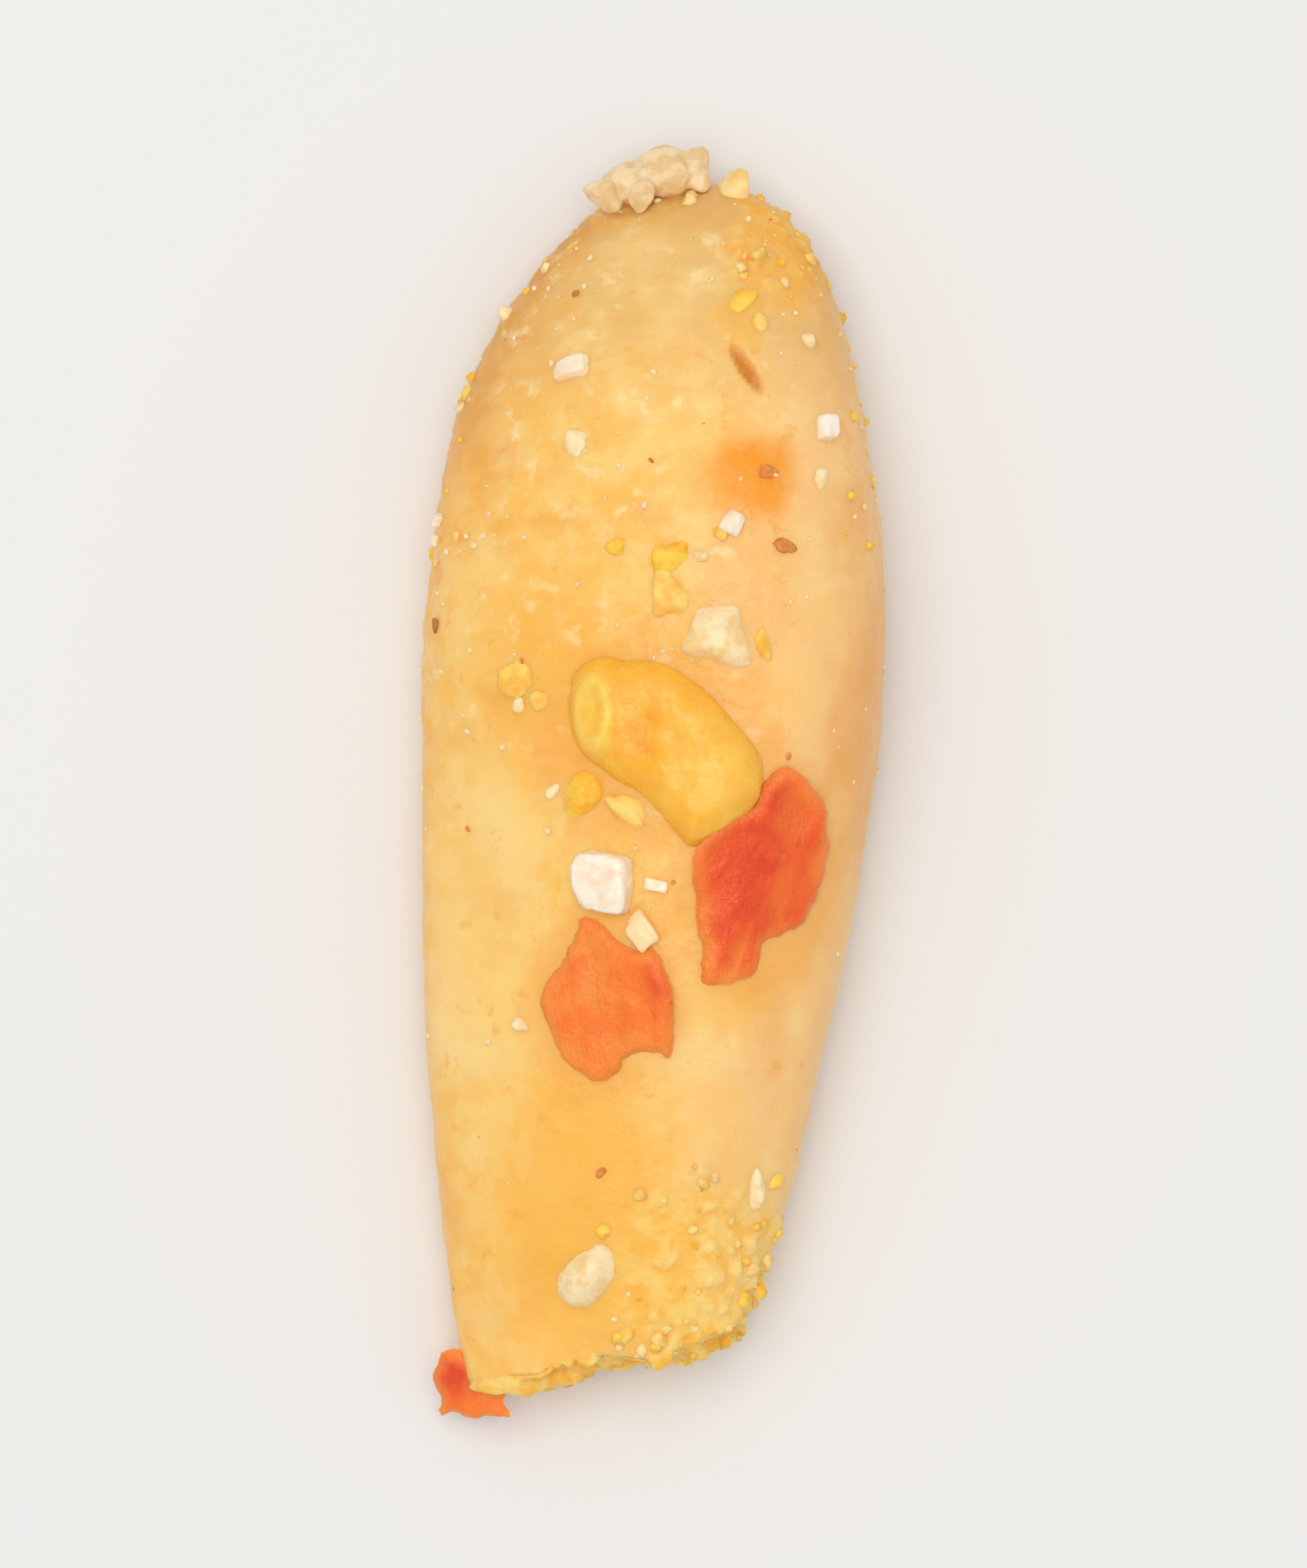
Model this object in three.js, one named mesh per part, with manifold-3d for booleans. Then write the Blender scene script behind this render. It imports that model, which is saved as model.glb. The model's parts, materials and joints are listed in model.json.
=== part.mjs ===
// A spicy roasted pili nut: one half of a kernel, split along the seed, with its butt end snapped off.
// Millimetres, +Z up. The half lies on its flat inner face with the domed side up, and its tip looks
// along +Y. The origin is under the middle of the bounding box, on the surface that the nut rests on.

import * as THREE from 'three';
import { mergeVertices } from 'three/addons/utils/BufferGeometryUtils.js';
import Module from 'manifold-3d';

// Driving dimensions of the half kernel before its end was snapped off
const WHOLE_LENGTH = 34.4; // tip to butt
const WIDTH = 11.6; // across the widest place
const HEIGHT = 7.3; // inner face to the crest of the dome
const WIDEST_AT = 11.75; // from the tip
const CREST_AT = 9.0; // from the tip
const BROKEN_LENGTH = 29.9; // tip to the shallow side of the break

// Section
const BELT_HEIGHT = 1.6; // where the half is widest, above the inner face
const KEEL_SHIFT = 1.7; // how far the crest of the dome lies to the right of the middle
const DOME_POWER = 2.1; // 2 is an ellipse, more is squarer
const RIM_INSET = 1.15; // the rounded rim takes this much of the half-width
const RIM_TURN = 0.32; // share of the underside's turn that the rim takes
const TIP_LIFT_LENGTH = 2.6; // the inner face curls up over this length at each end

// Crest seen from the side
const CREST_TIP_POWER = 1.7;
const CREST_BUTT_POWER = 1.5;
const CREST_BLUNTNESS = 0.64;

// Outline seen from above
const TIP_POWER = 1.9;
const BUTT_POWER = 1.5;
const OUTLINE_BLUNTNESS = 0.45;
const TIP_LEAN = 0.75; // the tip turns to the right
const TIP_LEAN_REACH = 3.7;
const BEND_FROM = 12.0; // below here the half bends to the left
const BEND_SLOPE = 0.086;
const BEND_SOFTNESS = 2.0;

// Furrow along the middle of the inner face, where the two halves of the seed met
const FURROW_DEPTH = 0.42;
const FURROW_HALF_WIDTH = 1.5;
const FURROW_BEGINS = 1.0; // from the tip
const FURROW_FULL_AT = 7.0;

// Slow unevenness of the dome, from drying and roasting
const DOME_SWELLS = [
  { height: 0.11, along: 0.36, across: 0.42, phase: 0.9 },
  { height: 0.05, along: 0.71, across: -0.85, phase: 2.1 },
  { height: 0.02, along: 1.33, across: 1.2, phase: 4.4 },
];

// Break: steps in the snapped face, each a rise towards the tip between two places across the nut
const BREAK_STEPS = [
  { from: -3.3, to: -2.0, rise: 0.42 },
  { from: 0.0, to: 0.35, rise: 0.55 },
  { from: 0.5, to: 1.9, rise: 0.4 },
  { from: 1.75, to: 2.9, rise: 1.7 },
];
const BREAK_LEVEL_STEP = { from: 2.2, to: 2.9, rise: 0.35 }; // a ledge at mid height
const BREAK_UNDERCUT = 0.07; // lean of the face for each millimetre below the crest
const BREAK_GRAIN = [
  { height: 0.08, across: 1.9, up: 1.1, phase: 0.4 },
  { height: 0.05, across: 4.1, up: -2.7, phase: 1.7 },
];
const BREAK_CELL = 0.42;
const BREAK_BLOCK = { width: 14.7, depth: 12.0, height: 10.08, base: -1.5 };

// Fineness of the surface
const SIDES_AROUND = 52;
const RINGS_ALONG = 58;

const NUT_COLOUR = 0xf4c070;
const NUT_ROUGHNESS = 0.45;

const { smoothstep, lerp } = THREE.MathUtils;

// 1 at the peak and 0 at both ends, with its own curve on each side of the peak
function swell(fromTip, peakAt, tipPower, buttPower, bluntness) {
  const tipward = fromTip < peakAt;
  const away = tipward ? 1 - fromTip / peakAt : (fromTip - peakAt) / (WHOLE_LENGTH - peakAt);
  const power = tipward ? tipPower : buttPower;
  return Math.max(0, 1 - away ** power) ** bluntness;
}

function halfWidth(fromTip) {
  return (WIDTH / 2) * swell(fromTip, WIDEST_AT, TIP_POWER, BUTT_POWER, OUTLINE_BLUNTNESS);
}

function domeHeight(fromTip) {
  const shape = swell(fromTip, CREST_AT, CREST_TIP_POWER, CREST_BUTT_POWER, CREST_BLUNTNESS);
  return (HEIGHT - BELT_HEIGHT) * shape;
}

// Middle of the outline, left or right of the straight line
function middle(fromTip) {
  const lean = TIP_LEAN * Math.exp(-((fromTip / TIP_LEAN_REACH) ** 2));
  const past = fromTip - BEND_FROM;
  const bend = BEND_SOFTNESS * Math.log1p(Math.exp(past / BEND_SOFTNESS));
  return lean - BEND_SLOPE * bend;
}

function domeUnevenness(x, fromTip) {
  let height = 0;
  for (const s of DOME_SWELLS) {
    height += s.height * Math.sin(s.along * fromTip + s.across * x + s.phase);
  }
  return height;
}

// How far the inner face has curled down from the belt to its flat, 0 at an end and 1 along the flat
function curl(fromTip) {
  const fromEnd = Math.min(fromTip, WHOLE_LENGTH - fromTip);
  const short = Math.max(0, 1 - fromEnd / TIP_LIFT_LENGTH);
  return Math.sqrt(1 - short * short);
}

function furrow(across, fromTip) {
  const fade = smoothstep(fromTip, FURROW_BEGINS, FURROW_FULL_AT);
  return FURROW_DEPTH * fade * (1 - smoothstep(Math.abs(across), 0, FURROW_HALF_WIDTH));
}

// Above the belt: across from the middle of the outline, and the height, for a turn about the length
function onDome(cosine, sine, fromTip) {
  const dome = domeHeight(fromTip);
  const rise = sine ** (2 / DOME_POWER);
  const flank = Math.sign(cosine) * Math.abs(cosine) ** (2 / DOME_POWER) * halfWidth(fromTip);
  const across = flank + (KEEL_SHIFT * rise ** 2 * dome) / (HEIGHT - BELT_HEIGHT);
  const uneven = domeUnevenness(across, fromTip) * rise * swell(fromTip, CREST_AT, 2, 2, 0.5);
  return [across, BELT_HEIGHT + dome * rise + uneven];
}

// Below the belt: a quarter-round rim, then the inner face in to the middle
function underneath(cosine, sine, fromTip) {
  const width = halfWidth(fromTip);
  const inset = (RIM_INSET * width) / (WIDTH / 2);
  const turn = Math.atan2(-sine, Math.abs(cosine)) / (Math.PI / 2);
  const rimAngle = (Math.min(1, turn / RIM_TURN) * Math.PI) / 2;
  const inward = Math.max(0, (turn - RIM_TURN) / (1 - RIM_TURN));
  const reach = (width - inset * (1 - Math.cos(rimAngle))) * (1 - inward);
  const across = Math.sign(cosine) * reach;
  const height = BELT_HEIGHT * (1 - Math.sin(rimAngle) * curl(fromTip));
  return [across, height + (inward > 0 ? furrow(across, fromTip) : 0)];
}

// Place on the kernel for a point of the unit sphere whose pole is the tip
function onKernel(point, target) {
  const fromTip = (WHOLE_LENGTH * (1 - point.y)) / 2;
  const round = Math.hypot(point.x, point.z) || 1;
  const side = point.z > 0 ? onDome : underneath;
  const [across, height] = side(point.x / round, point.z / round, fromTip);
  target.set(middle(fromTip) + across, WHOLE_LENGTH / 2 - fromTip, height);
}

function wholeHalf() {
  const geometry = new THREE.SphereGeometry(1, SIDES_AROUND, RINGS_ALONG);
  const places = geometry.attributes.position;
  const point = new THREE.Vector3();
  for (let i = 0; i < places.count; i += 1) {
    point.fromBufferAttribute(places, i);
    onKernel(point.clone(), point);
    places.setXYZ(i, point.x, point.y, point.z);
  }
  return geometry;
}

// Distance from the tip to the broken face
function breakDistance(x, z) {
  let rise = -BREAK_UNDERCUT * z;
  for (const step of BREAK_STEPS) {
    rise += step.rise * smoothstep(x, step.from, step.to);
  }
  rise += BREAK_LEVEL_STEP.rise * smoothstep(z, BREAK_LEVEL_STEP.to, BREAK_LEVEL_STEP.from);
  for (const grain of BREAK_GRAIN) {
    rise += grain.height * Math.sin(grain.across * x + grain.up * z + grain.phase);
  }
  return BROKEN_LENGTH - rise;
}

// The lost end: a block whose +Y face is the broken surface
function lostEnd() {
  const { width, depth, height, base } = BREAK_BLOCK;
  const cellsAcross = Math.round(width / BREAK_CELL);
  const cellsUp = Math.round(height / BREAK_CELL);
  const geometry = new THREE.BoxGeometry(width, depth, height, cellsAcross, 1, cellsUp);
  const places = geometry.attributes.position;
  const farEnd = -WHOLE_LENGTH / 2 - 1;
  for (let i = 0; i < places.count; i += 1) {
    const x = places.getX(i);
    const z = places.getZ(i) + height / 2 + base;
    const onBreak = places.getY(i) > 0;
    places.setXYZ(i, x, onBreak ? WHOLE_LENGTH / 2 - breakDistance(x, z) : farEnd, z);
  }
  return geometry;
}

const manifold = await Module();
manifold.setup();

function solid(geometry) {
  geometry.deleteAttribute('normal');
  geometry.deleteAttribute('uv');
  const merged = mergeVertices(geometry, 1e-5);
  return new manifold.Manifold(
    new manifold.Mesh({
      numProp: 3,
      vertProperties: new Float32Array(merged.attributes.position.array),
      triVerts: new Uint32Array(merged.index.array),
    }),
  );
}

function geometryOf(body) {
  const mesh = body.getMesh();
  const geometry = new THREE.BufferGeometry();
  geometry.setAttribute('position', new THREE.BufferAttribute(mesh.vertProperties, 3));
  geometry.setIndex(new THREE.BufferAttribute(mesh.triVerts, 1));
  return geometry;
}

function kernel() {
  const geometry = geometryOf(solid(wholeHalf()).subtract(solid(lostEnd())));
  geometry.computeBoundingBox();
  const { min, max } = geometry.boundingBox;
  geometry.translate(-lerp(min.x, max.x, 0.5), -lerp(min.y, max.y, 0.5), -min.z);
  geometry.computeVertexNormals();
  const material = new THREE.MeshStandardMaterial({
    color: NUT_COLOUR,
    roughness: NUT_ROUGHNESS,
    metalness: 0,
  });
  const mesh = new THREE.Mesh(geometry, material);
  mesh.name = 'kernel';
  return mesh;
}

const nut = new THREE.Group();
nut.add(kernel());

export default nut;
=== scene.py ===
import json
import math
import random

import bmesh
import bpy
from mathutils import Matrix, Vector, noise
from mathutils.bvhtree import BVHTree
from mathutils.geometry import delaunay_2d_cdt
from mathutils.kdtree import KDTree

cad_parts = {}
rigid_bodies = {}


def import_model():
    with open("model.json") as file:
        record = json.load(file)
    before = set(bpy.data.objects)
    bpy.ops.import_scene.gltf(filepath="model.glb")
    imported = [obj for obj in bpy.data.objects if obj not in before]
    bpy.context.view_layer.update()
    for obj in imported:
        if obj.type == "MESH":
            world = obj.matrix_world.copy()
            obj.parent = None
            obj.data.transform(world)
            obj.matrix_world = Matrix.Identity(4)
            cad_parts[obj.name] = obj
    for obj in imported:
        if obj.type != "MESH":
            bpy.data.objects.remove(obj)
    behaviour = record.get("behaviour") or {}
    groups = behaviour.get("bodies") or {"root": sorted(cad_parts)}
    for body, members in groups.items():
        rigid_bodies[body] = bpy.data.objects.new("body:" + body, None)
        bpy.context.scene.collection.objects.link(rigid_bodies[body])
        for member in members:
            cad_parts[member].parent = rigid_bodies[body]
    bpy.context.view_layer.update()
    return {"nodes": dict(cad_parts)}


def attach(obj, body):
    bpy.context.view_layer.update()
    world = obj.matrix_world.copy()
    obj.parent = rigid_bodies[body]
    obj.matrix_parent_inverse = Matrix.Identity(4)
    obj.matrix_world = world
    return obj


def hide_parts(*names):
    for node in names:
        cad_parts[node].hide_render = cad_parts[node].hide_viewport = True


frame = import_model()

MM = 0.001

# ---------------------------------------------------------------------------------------------
# The table and the light. The nut lies on a plain pale table and is seen from straight above,
# tip upwards, in the soft daylight of a large window above it and a little to the left.

VIEW_HEIGHT = 38.6 * MM
LENS = 200.0
SENSOR = 36.0
NEAREST_SEEN = 5.0 * MM
NUT_MIDDLE = 3.0 * MM
TABLE_SIDE = 2.4
WINDOW_AT = Vector((-0.03, 0.045, 0.36))
WINDOW_SIDE = 0.24
WINDOW_POWER = 0.63
SKY_STRENGTH = 0.64


def colour(code):
    """An sRGB colour, written as hexadecimal, in Blender's linear light."""
    channels = [int(code[i : i + 2], 16) / 255 for i in (0, 2, 4)]
    linear = [c / 12.92 if c < 0.04045 else ((c + 0.055) / 1.055) ** 2.4 for c in channels]
    return (*linear, 1.0)


def in_scene(name, data):
    """A new object in the scene, with this mesh, light or camera."""
    made = bpy.data.objects.new(name, data)
    bpy.context.scene.collection.objects.link(made)
    return made


camera = in_scene("camera", bpy.data.cameras.new("camera"))
camera.data.lens = LENS
camera.data.sensor_width = SENSOR
camera.data.clip_start = NEAREST_SEEN
camera.location = (0, 0, NUT_MIDDLE + VIEW_HEIGHT * LENS / SENSOR)
bpy.context.scene.camera = camera

window = in_scene("window", bpy.data.lights.new("window", "AREA"))
window.data.shape = "SQUARE"
window.data.size = WINDOW_SIDE
window.data.energy = WINDOW_POWER
window.data.color = colour("fffaf2")[:3]
window.location = WINDOW_AT
window.rotation_mode = "QUATERNION"
window.rotation_quaternion = (-WINDOW_AT).to_track_quat("-Z", "Y")

sky = bpy.data.worlds.new("sky")
bpy.context.scene.world = sky
sky.use_nodes = True
sky.node_tree.nodes["Background"].inputs["Color"].default_value = colour("fffefc")
sky.node_tree.nodes["Background"].inputs["Strength"].default_value = SKY_STRENGTH
bpy.context.scene.view_settings.view_transform = "Standard"

table_mesh = bpy.data.meshes.new("table")
half = TABLE_SIDE / 2
corners = [(-half, -half, 0), (half, -half, 0), (half, half, 0), (-half, half, 0)]
table_mesh.from_pydata(corners, [], [(0, 1, 2, 3)])
table = in_scene("table", table_mesh)
table_finish = bpy.data.materials.new("table_paint")
table_finish.use_nodes = True
paint = table_finish.node_tree.nodes["Principled BSDF"]
paint.inputs["Base Color"].default_value = colour("e9eaec")
paint.inputs["Roughness"].default_value = 0.75
table_mesh.materials.append(table_finish)

# ---------------------------------------------------------------------------------------------
# The kernel: half of a roasted pili nut, a pale oily flesh with golden and orange oil stains.
# It tapers to a blunt tip, and its butt end is snapped off, with dry granular flesh in the break.
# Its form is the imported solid's, a little smaller so that the seasoning on it fills the rest.

VOXEL = 0.11 * MM
SAME_POINT = 0.0005 * MM
BREAK_STARTS = -12.4  # mm along the kernel; the snapped face lies below this

kernel_inputs = {
    "Rounding": ("NodeSocketInt", 34),
    "Skin on top": ("NodeSocketFloat", 0.22),
    "Skin at sides": ("NodeSocketFloat", 0.05),
    "Dents": ("NodeSocketFloat", 0.07),
    "Ripples": ("NodeSocketFloat", 0.025),
    "Wrinkles": ("NodeSocketFloat", 0.05),
    "Grain": ("NodeSocketFloat", 0.024),
    "Crust": ("NodeSocketFloat", 0.17),
    "Snapped": ("NodeSocketFloat", 0.38),
}

# Patches of the skin, in mm: middle, radii, softness of the edge and its raggedness
patches = {
    "golden": ((-1.7, -10.6, 4.0), (2.0, 3.4, 9.0), 0.9, 0.45),
    "warm": ((-2.4, 2.4, 5.0), (1.9, 2.4, 9.0), 1.0, 0.5),
    "pale": ((-4.2, -3.5, 4.0), (1.3, 4.5, 9.0), 1.0, 0.5),
    "tan": ((5.6, 1.0, 3.0), (1.3, 3.4, 9.0), 0.8, 0.4),
    "stain": ((2.3, 7.5, 6.0), (1.15, 1.0, 9.0), 1.4, 0.6),
    "streak": ((2.1, 11.4, 5.5), (0.55, 0.8, 9.0), 1.0, 0.8),
    "peach": ((2.3, 4.8, 5.0), (1.3, 1.7, 9.0), 1.0, 0.4),
    "oil_by_flake": ((-1.2, -5.3, 6.0), (2.1, 2.5, 9.0), 0.5, 0.45),
    "oil_by_flakes": ((2.4, -2.4, 6.0), (2.3, 3.1, 9.0), 0.5, 0.45),
    "oil_by_seed": ((0.2, 0.9, 6.0), (3.0, 2.8, 9.0), 0.5, 0.45),
    "tip_crust": ((3.0, 12.9, 3.0), (1.25, 1.8, 3.0), 0.7, 0.6),
    "break_crust": ((1.3, -12.4, 4.0), (2.3, 2.6, 4.0), 0.7, 0.6),
}
# A slit in the skin, which leans by this many mm to the left for each mm towards the tip
SCAR = ((2.28, 10.2, 5.5), (0.2, 0.55, 9.0), 1.0, 0.3)
SCAR_LEAN = 0.6
SCAR_DEPTH = 0.12

# Colours laid over the skin, the later over the earlier: mask, its share at most, and colour. The rim tint
# and the tint on the tip's steep flanks are painted shade, a deeper golden where the skin turns steeply away
# from the light
skin_tints = [
    ("cloudy", 0.5, "ffdd96"), ("pale", 0.5, "ffd98c"), ("rim", 0.35, "ffbb62"), ("tan", 0.6, "f2a956"),
    ("tip_flanks", 0.9, "df9a36"), ("tip_edge", 0.4, "dda048"), ("golden", 0.8, "febb4a"),
    ("warm", 0.65, "ffb744"), ("oil", 0.65, "fcae4e"), ("peach", 0.6, "f6b768"),
    ("streak", 0.45, "ffb936"), ("stain", 0.98, "fb9c06"), ("scar", 1.0, "cc7400"),
]


def new_tree(name, kind, sockets_in, sockets_out):
    """A node group with these named inputs and outputs, and its two end nodes."""
    tree = bpy.data.node_groups.new(name, kind)
    for label, (socket, value) in sockets_in.items():
        made = tree.interface.new_socket(label, in_out="INPUT", socket_type=socket)
        if value is not None:
            made.default_value = value
    for label, socket in sockets_out.items():
        tree.interface.new_socket(label, in_out="OUTPUT", socket_type=socket)
    return tree, tree.nodes.new("NodeGroupInput"), tree.nodes.new("NodeGroupOutput")


def plug(tree, socket, value):
    """Links a node's output to the socket, or sets the socket to a plain value."""
    if isinstance(value, bpy.types.NodeSocket):
        tree.links.new(value, socket)
    else:
        socket.default_value = value


def add(tree, kind, settings=None, **values):
    """A node whose inputs, by name with _ for a space, are numbers or other nodes' outputs."""
    made = tree.nodes.new(kind)
    for label, value in (settings or {}).items():
        setattr(made, label, value)
    for label, value in values.items():
        found = [s for s in made.inputs if s.name.replace(" ", "_") == label and s.enabled]
        plug(tree, found[0], value)
    return made


def result(node):
    """The first output of a node that is in use."""
    return [socket for socket in node.outputs if socket.enabled][0]


def maths(tree, operation, *values):
    """The output of a Math node."""
    made = tree.nodes.new("ShaderNodeMath")
    made.operation = operation
    for socket, value in zip(made.inputs, values):
        plug(tree, socket, value)
    return made.outputs[0]


def times(tree, *values):
    """Several values multiplied."""
    product = values[0]
    for value in values[1:]:
        product = maths(tree, "MULTIPLY", product, value)
    return product


def ramp(tree, value, low, high, at_low=0.0, at_high=1.0):
    """value turned smoothly from at_low, where it is low, to at_high, where it is high."""
    made = tree.nodes.new("ShaderNodeMapRange")
    made.interpolation_type = "SMOOTHERSTEP"
    if low > high:
        low, high, at_low, at_high = high, low, at_high, at_low
    for socket, number in zip(made.inputs, (value, low, high, at_low, at_high)):
        plug(tree, socket, number)
    return made.outputs[0]


def vector_maths(tree, operation, *vectors):
    """The output of a Vector Math node."""
    made = tree.nodes.new("ShaderNodeVectorMath")
    made.operation = operation
    for socket, vector in zip(made.inputs, vectors):
        plug(tree, socket, vector)
    return result(made)


def scaled(tree, vector, scale):
    """A vector times a number, or times three numbers."""
    if isinstance(scale, tuple):
        return vector_maths(tree, "MULTIPLY", vector, scale)
    return result(add(tree, "ShaderNodeVectorMath", {"operation": "SCALE"}, Vector=vector, Scale=scale))


def xyz(tree, vector):
    """The three numbers of a vector."""
    return add(tree, "ShaderNodeSeparateXYZ", Vector=vector).outputs


def clouds(tree, vector, scale, detail=2.0, roughness=0.5):
    """Soft noise from 0 to 1."""
    made = add(tree, "ShaderNodeTexNoise", Vector=vector, Scale=scale, Detail=detail, Roughness=roughness)
    return result(made)


def swing(tree, value, height):
    """Noise of 0 to 1 turned into a height that mostly stays within plus and minus height."""
    return times(tree, maths(tree, "SUBTRACT", value, 0.5), 4.0, height)


def spot(tree, place, centre, radii, edge, ragged):
    """A soft patch at centre, 1 inside and 0 outside, with an uneven edge."""
    offset = vector_maths(tree, "SUBTRACT", place, centre)
    length = vector_maths(tree, "LENGTH", scaled(tree, offset, tuple(1 / radius for radius in radii)))
    rough = maths(tree, "SUBTRACT", clouds(tree, place, 1.1, 3.0, 0.6), 0.5)
    distance = maths(tree, "ADD", length, times(tree, rough, 2 * ragged))
    return ramp(tree, distance, 1 + edge / 2, 1 - edge / 2)


def store(tree, geometry, label, value):
    """The geometry with a value kept on its points under this name."""
    made = add(tree, "GeometryNodeStoreNamedAttribute", {"data_type": "FLOAT"}, Geometry=geometry)
    made.inputs["Name"].default_value = label
    plug(tree, [s for s in made.inputs if s.name == "Value" and s.enabled][0], value)
    return made.outputs["Geometry"]


def skin_masks(tree, place, facing, upper):
    """Where the skin's finishes and its painted shade are, from 0 to 1, by name, and where the tip's steep
    sides are. place is in mm, facing is the surface's normal, and upper is 1 but on the underside."""
    x, y, z = xyz(tree, place)
    sideward, endward, upward = xyz(tree, facing)
    masks = {label: spot(tree, place, *patch) for label, patch in patches.items()}
    slant = times(tree, maths(tree, "SUBTRACT", y, SCAR[0][1]), SCAR_LEAN)
    shift = result(add(tree, "ShaderNodeCombineXYZ", X=slant))
    masks["scar"] = spot(tree, vector_maths(tree, "ADD", place, shift), *SCAR)
    oily = maths(tree, "MAXIMUM", masks.pop("oil_by_flake"), masks.pop("oil_by_flakes"))
    masks["oil"] = maths(tree, "MAXIMUM", oily, masks.pop("oil_by_seed"))
    crusted = maths(tree, "MAXIMUM", masks.pop("tip_crust"), masks.pop("break_crust"))
    masks["crust"] = times(tree, crusted, upper)
    masks["fresh_break"] = times(
        tree,
        ramp(tree, endward, -0.35, -0.65),
        ramp(tree, y, BREAK_STARTS + 1.0, BREAK_STARTS),
        ramp(tree, z, 0.2, 1.0),
    )
    masks["dusty"] = times(
        tree,
        ramp(tree, y, -9.0, 9.0, 0.12, 1.0),
        ramp(tree, x, 4.6, 0.5, 0.35, 1.0),
        ramp(tree, clouds(tree, place, 0.45, 2.0), 0.35, 0.6, 0.15, 1.0),
        upper,
    )
    drift = times(tree, maths(tree, "SUBTRACT", clouds(tree, place, 0.33, 3.0, 0.6), 0.5), 9.0)
    wavy = times(tree, drift, 0.06)
    masks["flank"] = ramp(tree, maths(tree, "ADD", x, drift), -0.5, 4.5)
    # Painted shade: the tip's steep flanks and the left rim near the tip, which turn away from the light, are
    # marked for a darker golden tint
    steep = ramp(tree, maths(tree, "ADD", maths(tree, "ABSOLUTE", sideward), wavy), 0.5, 0.95)
    ahead = ramp(tree, x, -1.0, 1.0, maths(tree, "ADD", y, 3.5), y)
    flanks = times(tree, steep, ramp(tree, ahead, 8.0, 15.0))
    left_rim_shade = times(tree, ramp(tree, upward, 0.75, 0.3), ramp(tree, y, 9.5, 13.0), ramp(tree, x, 0.0, -2.0))
    masks["tip_flanks"] = maths(tree, "MAXIMUM", left_rim_shade, flanks)
    tip_sides = times(tree, ramp(tree, upward, 0.75, 0.35), ramp(tree, y, 2.0, 9.0), upper)
    masks["gritty"] = maths(tree, "MAXIMUM", masks["crust"], times(tree, tip_sides, 0.22))
    # Painted shade: the rim mask is 1 where the skin faces sideways, and its tint darkens the skin there to a
    # deeper golden
    masks["rim"] = ramp(tree, upward, 0.7, 0.2)
    masks["tipward"] = ramp(tree, y, 7.5, 12.5)
    masks["tip_edge"] = ramp(tree, maths(tree, "ADD", y, wavy), 13.2, 14.4)
    masks["cloudy"] = ramp(tree, clouds(tree, place, 0.5, 4.0, 0.6), 0.5, 0.68)
    return masks, tip_sides


def wandering(tree, place):
    """The place shifted by noise, so that cells come out ragged."""
    shift = add(tree, "ShaderNodeTexNoise", Vector=place, Scale=1.3, Detail=2.0).outputs["Color"]
    return vector_maths(tree, "ADD", place, scaled(tree, shift, 0.9))


def skin_relief(tree, place, given, masks, tip_sides):
    """How far the skin rises and falls (mm), by the tree's inputs, which are given."""
    x, y, _ = xyz(tree, place)
    relief = swing(tree, clouds(tree, place, 0.28, 1.0), given["Dents"])
    ripples = swing(tree, clouds(tree, place, 0.8, 2.0), given["Ripples"])
    crosswise = clouds(tree, scaled(tree, place, (0.4, 1.5, 0.6)), 0.9, 3.0, 0.55)
    upper_left = times(tree, ramp(tree, y, -5.0, 5.0, 0.3, 1.0), ramp(tree, x, 3.0, -1.5, 0.25, 1.0))
    wrinkles = times(tree, swing(tree, crosswise, given["Wrinkles"]), upper_left)
    grained = maths(tree, "ADD", ramp(tree, masks["dusty"], 0.0, 1.0, 0.4, 1.3), tip_sides)
    grain = times(tree, swing(tree, clouds(tree, place, 2.1, 3.0, 0.6), given["Grain"]), grained)
    cells = add(tree, "ShaderNodeTexVoronoi", {"feature": "SMOOTH_F1"}, Vector=wandering(tree, place),
                Scale=1.9, Smoothness=0.2)
    chosen = xyz(tree, cells.outputs["Color"])["X"]
    lumps = times(tree, ramp(tree, cells.outputs["Distance"], 0.7, 0.1), chosen, 1.3)
    lumps = maths(tree, "ADD", lumps, swing(tree, clouds(tree, place, 1.4, 4.0, 0.65), 0.4))
    knobs = times(tree, lumps, given["Crust"], masks["crust"])
    for part in (ripples, wrinkles, grain, knobs):
        relief = maths(tree, "ADD", relief, part)
    return maths(tree, "SUBTRACT", relief, times(tree, masks["scar"], SCAR_DEPTH))


def splintered(tree, place, given, masks):
    """How far the snapped face rises and falls (mm): cells of flesh torn off at different depths."""
    splinters = add(tree, "ShaderNodeTexVoronoi", {"feature": "SMOOTH_F1"},
                    Vector=wandering(tree, place), Scale=1.2, Smoothness=0.15)
    stepped = xyz(tree, splinters.outputs["Color"])["Y"]
    stepped = maths(tree, "ADD", stepped, times(tree, clouds(tree, place, 1.6, 4.0, 0.65), 0.8))
    return times(tree, maths(tree, "SUBTRACT", stepped, 1.0), given["Snapped"], masks["fresh_break"])


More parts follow.
